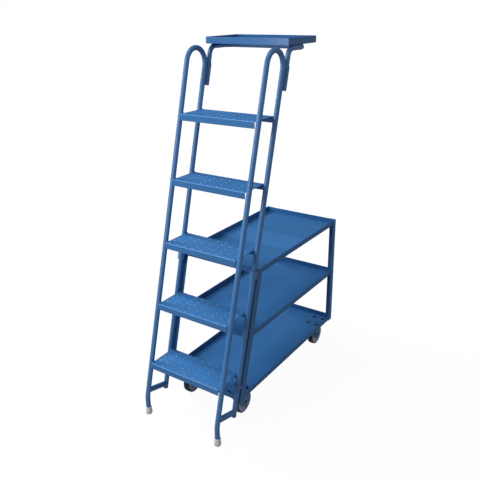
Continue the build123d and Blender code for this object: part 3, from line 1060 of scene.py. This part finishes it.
@dataclass
class Casters:
    """Bolts, race covers, axle trim and wheel trim of the four casters.

    Attributes:
        finishes: The machine's finishes.
        x: Distance of the casters from the middle plane.
        front_y: Where the front casters' kingpins lie.
        rear_y: Where the rear casters' axles lie.
        trail: Distance of a front wheel's axle behind its kingpin.
        wheel_r: A wheel's radius.
        plate_bottom_z: Height of the plates' underside.
        race_gap_z: Height of the gap between a swivel's two races.
        race_gap: Half of the gap between the two covers.
        race_r: Radius of the races.
        cover_play: Distance of a cover from its race.
        cover_out: Distance of a cover's widest place from its race.
        cover_round: How far its edges are drawn in from there.
        lower_cover_h: How far the lower cover reaches below the races' gap.
        bolt_spacing: Distance between the bolts across and along the machine.
        washer_r: Radius of a washer.
        washer_t: Thickness of a washer.
        washer_bevel: How much its edges are broken.
        under_washer: Thickness of the washers under the plate, as a share of that.
        hex_r: Radius of a bolt's head and nut to their corners.
        hex_bevel: How much their edges are broken.
        head_h: Height of a bolt's head.
        nut_h: Height of a nut.
        thread_r: Radius of a bolt's thread.
        thread_tip: How far it stands out of the nut.
        thread_bevel: How much its end is broken.
        fork_outer: Distance of a fork's outer faces from the wheel's middle.
        axle_head_t: Thickness of an axle's head and nut.
        cap: Radius and thickness of the plain cap on an axle's head.
        cap_bevel: How much its edge is broken.
        axle_tip: Radius and length of the thread beyond an axle's nut.
        dish: Radius and distance from the wheel's middle of each point of its dished web.
        bearing_collar: The same for the collar round its bearing.
    """

    finishes: Finishes
    x: float = 0.166
    front_y: float = 0.29197
    rear_y: float = 1.153
    trail: float = 0.040
    wheel_r: float = 0.0625
    plate_bottom_z: float = 0.1475
    race_gap_z: float = 0.1412
    race_gap: float = 0.0006
    race_r: float = 0.029
    cover_play: float = 0.0001
    cover_out: float = 0.0026
    cover_round: float = 0.0008
    lower_cover_h: float = 0.0063
    bolt_spacing: Tuple[float, float] = (0.0572, 0.0826)
    washer_r: float = 0.0082
    washer_t: float = 0.0014
    washer_bevel: float = 0.0003
    under_washer: float = 0.6
    hex_r: float = 0.0075
    hex_bevel: float = 0.0007
    head_h: float = 0.0050
    nut_h: float = 0.0062
    thread_r: float = 0.0039
    thread_tip: float = 0.0035
    thread_bevel: float = 0.0008
    fork_outer: float = 0.0254
    axle_head_t: float = 0.006
    cap: Tuple[float, float] = (0.0064, 0.0009)
    cap_bevel: float = 0.0004
    axle_tip: Tuple[float, float] = (0.0046, 0.0032)
    dish: Outline = (
        (0.0150, 0.0045),
        (0.0150, 0.0120),
        (0.0200, 0.0105),
        (0.0300, 0.0088),
        (0.0420, 0.0100),
        (0.0475, 0.0128),
        (0.0475, 0.0045),
    )
    bearing_collar: Outline = (
        (0.0068, 0.0214),
        (0.0068, 0.0217),
        (0.0112, 0.0217),
        (0.0122, 0.0211),
        (0.0122, 0.0205),
    )

    def nut(self, shape: Shape, place: Matrix) -> None:
        """Adds a washer, a nut and the end of its bolt on the bottom pan."""
        on_washer = place @ Matrix.Translation((0, 0, self.washer_t))
        on_nut = place @ Matrix.Translation((0, 0, self.washer_t + self.nut_h))
        shape.drum(place, self.washer_r, self.washer_t, self.washer_bevel)
        shape.drum(on_washer, self.hex_r, self.nut_h, self.hex_bevel, 6)
        shape.drum(on_nut, self.thread_r, self.thread_tip, self.thread_bevel, 20)

    def head(self, shape: Shape, place: Matrix) -> None:
        """Adds a thin washer and a bolt's head under a caster's plate."""
        washer_t = self.washer_t * self.under_washer
        under = place @ Matrix.Translation((0, 0, washer_t))
        shape.drum(place, self.washer_r, washer_t, self.washer_bevel)
        shape.drum(under, self.hex_r, self.head_h, self.hex_bevel, 6)

    def bolts(self) -> bpy.types.Object:
        """Builds nuts on the bottom pan and bolt heads under the plates, each turned its own way."""
        shape = Shape()
        deck = SIZES.deck_z + SIZES.sheet_t
        flip = Matrix.Rotation(pi, 4, "X")
        bolt_places = [(side, end) for side in (-1, 1) for end in (-1, 1)]
        for hand in Hand:
            for caster_y in (self.front_y, self.rear_y):
                for side, end in bolt_places:
                    x = hand.value * self.x + side * self.bolt_spacing[0] / 2
                    y = caster_y + end * self.bolt_spacing[1] / 2 - SIZES.middle_y
                    turn = Matrix.Rotation(0.4 * side + 0.9 * end + hand.value, 4, "Z")
                    self.nut(shape, Matrix.Translation((x, y, deck)) @ turn)
                    self.head(shape, Matrix.Translation((x, y, self.plate_bottom_z)) @ flip @ turn)
        return shape.finished("caster_bolts", "cart", self.finishes.dark_steel)

    def race_covers(self, hand: Hand) -> None:
        """Builds the pressed covers over a swivel's two races."""
        place = Matrix.Translation((hand.value * self.x, self.front_y - SIZES.middle_y, 0.0))
        inner, outer = self.race_r + self.cover_play, self.race_r + self.cover_out
        edge = outer - self.cover_round
        upper = (self.race_gap_z + self.race_gap, self.plate_bottom_z)
        lower = (self.race_gap_z - self.lower_cover_h, self.race_gap_z - self.race_gap)
        for word, body, (low, high) in (("upper", "cart", upper), ("lower", f"swivel_{hand.word}", lower)):
            shape = Shape()
            section = ((inner, low), (edge, low), (outer, (low + high) / 2), (edge, high), (inner, high))
            shape.spun(place, section, 40)
            shape.finished(f"race_cover_{word}_{hand.word}", body, self.finishes.frame_blue)

    def axle_trim(self, hand: Hand, end: str, y: float, body: str) -> None:
        """Builds the cap on an axle's head and the thread beyond its nut.

        Args:
            hand: The side of the machine.
            end: The word for the end of the cart.
            y: Where the axle lies.
            body: The body that the axle belongs to.
        """
        shape = Shape()
        for side in (-1, 1):
            turn = Matrix.Rotation(side * pi / 2, 4, "Y")
            x = hand.value * self.x + side * self.fork_outer
            foot = Matrix.Translation((x, y - SIZES.middle_y, self.wheel_r)) @ turn
            outside = foot @ Matrix.Translation((0, 0, self.axle_head_t))
            if side == hand.value:
                shape.drum(outside, *self.cap, self.cap_bevel, 28)
            else:
                shape.drum(outside, *self.axle_tip, self.thread_bevel, 24)
        shape.finished(f"axle_trim_{end}_{hand.word}", body, self.finishes.dark_steel)

    def wheel_trim(self, hand: Hand, end: str, y: float) -> None:
        """Builds the dished webs and the bearing collars of one wheel.

        Args:
            hand: The side of the machine.
            end: The word for the end of the cart.
            y: Where the wheel's middle lies.
        """
        shape = Shape()
        middle = Matrix.Translation((hand.value * self.x, y - SIZES.middle_y, self.wheel_r))
        for side in (-1, 1):
            place = middle @ Matrix.Rotation(side * pi / 2, 4, "Y")
            shape.spun(place, self.dish, 48)
            shape.spun(place, self.bearing_collar, 36)
        body = f"{end}_wheel_{hand.word}"
        shape.finished(f"wheel_trim_{end}_{hand.word}", body, self.finishes.centre)

    def build(self) -> None:
        """Builds the trim of all four casters."""
        self.bolts()
        front_wheel_y = self.front_y + self.trail
        for hand in Hand:
            self.race_covers(hand)
            self.axle_trim(hand, "front", front_wheel_y, f"swivel_{hand.word}")
            self.axle_trim(hand, "rear", self.rear_y, "cart")
            self.wheel_trim(hand, "front", front_wheel_y)
            self.wheel_trim(hand, "rear", self.rear_y)


@dataclass(frozen=True)
class Lamp:
    """A soft rectangular studio lamp that looks at the machine's middle.

    Attributes:
        name: The lamp's name.
        place: Where it stands.
        width: Its width.
        height: Its height.
        watts: Its power.
        target: The point that it looks at.
    """

    name: str
    place: Point
    width: float
    height: float
    watts: float
    target: Point = (0.0, 0.0, 0.9)

    def build(self) -> bpy.types.Object:
        """Builds the lamp."""
        data = bpy.data.lights.new(self.name, "AREA")
        data.shape = "RECTANGLE"
        data.size = self.width
        data.size_y = self.height
        data.energy = self.watts
        made = bpy.data.objects.new(self.name, data)
        made.location = self.place
        aim = Vector(self.target) - Vector(self.place)
        made.rotation_euler = aim.to_track_quat("-Z", "Y").to_euler()
        bpy.context.scene.collection.objects.link(made)
        return made


@dataclass
class Studio:
    """The plain white floor, the lamps, the world and the camera.

    Attributes:
        lamps: The lamps.
        world_strength: How strongly the world lights the machine from all round.
        image_px: Width of the picture.
        sensor: Width of the camera's sensor in millimetres.
        focal_px: Focal length, in the picture's pixels.
        azimuth: How far round to the right of the ladder's front the camera stands.
        pitch: Angle of the view below level.
        roll: Turn of the camera about its view.
        eye: Place of the camera, with y from the line on the floor where the lean begins.
        floor_half: Half of the floor's width.
        floor_grey: Brightness of the floor as it lights the machine.
        white_share: Share of plain white in the floor near the machine, where its shadow lies.
        far_white_share: The same far away.
        white_from: Distance from the machine at which that share begins to change.
        white_to: Distance at which it has changed.
        glow_strength: Brightness of the plain white.
    """

    lamps: Tuple[Lamp, ...] = (
        Lamp("key", (-4.5, 0.3, 2.9), 3.2, 3.2, 355.0),
        Lamp("front_softbox", (-0.85, -2.45, 2.1), 0.7, 2.4, 50.0),
        Lamp("right_fill", (3.6, 1.6, 1.6), 1.4, 1.4, 8.0),
        Lamp("overhead", (0.0, -1.2, 6.5), 0.14, 0.14, 68.0),
    )
    world_strength: float = 0.29
    image_px: float = 480.0
    sensor: float = 36.0
    focal_px: float = 590.94
    azimuth: float = radians(34.49)
    pitch: float = radians(21.61)
    roll: float = radians(-0.83)
    eye: Point = (1.63446, -1.80337, 2.00203)
    floor_half: float = 30.0
    floor_grey: float = 0.25
    white_share: float = 0.8
    far_white_share: float = 0.86
    white_from: float = 1.5
    white_to: float = 5.0
    glow_strength: float = 1.19

    def floor(self) -> bpy.types.Object:
        """Builds a floor that shows white and keeps a faint shadow."""
        mesh = bmesh.new()
        bmesh.ops.create_grid(mesh, x_segments=1, y_segments=1, size=self.floor_half)
        data = bpy.data.meshes.new("floor")
        mesh.to_mesh(data)
        mesh.free()
        recipe = Recipe("floor_white")
        rays = recipe.node("ShaderNodeLightPath", {}, {})
        camera, glossy, transmission = (
            Term(recipe, rays.outputs[f"Is {kind} Ray"]) for kind in ("Camera", "Glossy", "Transmission")
        )
        distance = recipe.term("ShaderNodeVectorMath", {"operation": "LENGTH"}, {0: recipe.place()}, "Value")
        change = distance.ramp(self.white_from, self.white_to) * (self.far_white_share - self.white_share)
        seen = (camera + glossy + transmission).ramp(0.0, 1.0) * (self.white_share + change)
        grey = {"Color": (self.floor_grey, self.floor_grey, self.floor_grey, 1.0)}
        white = {"Color": (1.0, 1.0, 1.0, 1.0), "Strength": self.glow_strength}
        matt = recipe.node("ShaderNodeBsdfDiffuse", {}, grey)
        glow = recipe.node("ShaderNodeEmission", {}, white)
        mixed = recipe.node("ShaderNodeMixShader", {}, {0: seen, 1: matt.outputs[0], 2: glow.outputs[0]})
        recipe.node("ShaderNodeOutputMaterial", {}, {"Surface": mixed.outputs[0]})
        data.materials.append(recipe.material)
        made = bpy.data.objects.new("floor", data)
        bpy.context.scene.collection.objects.link(made)
        return made

    def world(self) -> None:
        """Lights the scene evenly and shows white behind it."""
        world = bpy.data.worlds.new("studio")
        world.use_nodes = True
        tree = world.node_tree
        tree.nodes.clear()
        rays = tree.nodes.new("ShaderNodeLightPath")
        soft = tree.nodes.new("ShaderNodeBackground")
        soft.inputs["Strength"].default_value = self.world_strength
        white = tree.nodes.new("ShaderNodeBackground")
        mixed = tree.nodes.new("ShaderNodeMixShader")
        out = tree.nodes.new("ShaderNodeOutputWorld")
        for shader in (soft, white):
            shader.inputs["Color"].default_value = (1.0, 1.0, 1.0, 1.0)
        seen = rays.outputs["Is Camera Ray"]
        for kind in ("Glossy", "Transmission"):
            either = tree.nodes.new("ShaderNodeMath")
            either.operation = "MAXIMUM"
            tree.links.new(seen, either.inputs[0])
            tree.links.new(rays.outputs[f"Is {kind} Ray"], either.inputs[1])
            seen = either.outputs[0]
        tree.links.new(seen, mixed.inputs[0])
        tree.links.new(soft.outputs[0], mixed.inputs[1])
        tree.links.new(white.outputs[0], mixed.inputs[2])
        tree.links.new(mixed.outputs[0], out.inputs["Surface"])
        bpy.context.scene.world = world

    def camera(self) -> bpy.types.Object:
        """Builds the camera at the photograph's place and angle."""
        data = bpy.data.cameras.new("camera")
        data.sensor_fit = "HORIZONTAL"
        data.sensor_width = self.sensor
        data.lens = self.sensor * self.focal_px / self.image_px
        data.clip_end = 100.0
        level = Vector((-sin(self.azimuth), cos(self.azimuth), 0.0))
        ahead = level * cos(self.pitch) - Vector((0.0, 0.0, sin(self.pitch)))
        right = Vector((cos(self.azimuth), sin(self.azimuth), 0.0))
        up = right.cross(ahead)
        turned_right = right * cos(self.roll) + up * sin(self.roll)
        turned_up = up * cos(self.roll) - right * sin(self.roll)
        turn = Matrix((turned_right, turned_up, -ahead)).transposed().to_4x4()
        made = bpy.data.objects.new("camera", data)
        eye = Vector(self.eye) - Vector((0.0, SIZES.middle_y, 0.0))
        made.matrix_world = Matrix.Translation(eye) @ turn
        bpy.context.scene.collection.objects.link(made)
        bpy.context.scene.camera = made
        return made

    def build(self) -> None:
        """Builds the studio."""
        self.camera()
        self.floor()
        self.world()
        for lamp in self.lamps:
            lamp.build()
        bpy.context.scene.view_settings.view_transform = "Standard"


def main() -> None:
    """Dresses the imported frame, adds the pieces and sets up the studio."""
    logging.basicConfig(level=logging.INFO, format="%(message)s")
    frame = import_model()
    Studio().build()
    finishes = Finishes()
    finishes.dress(frame["nodes"])
    Treads(finishes).build()
    SideFrames(finishes).build()
    Tray(finishes).build()
    CartFrame(finishes).build()
    Casters(finishes).build()


if __name__ == "__main__":
    main()
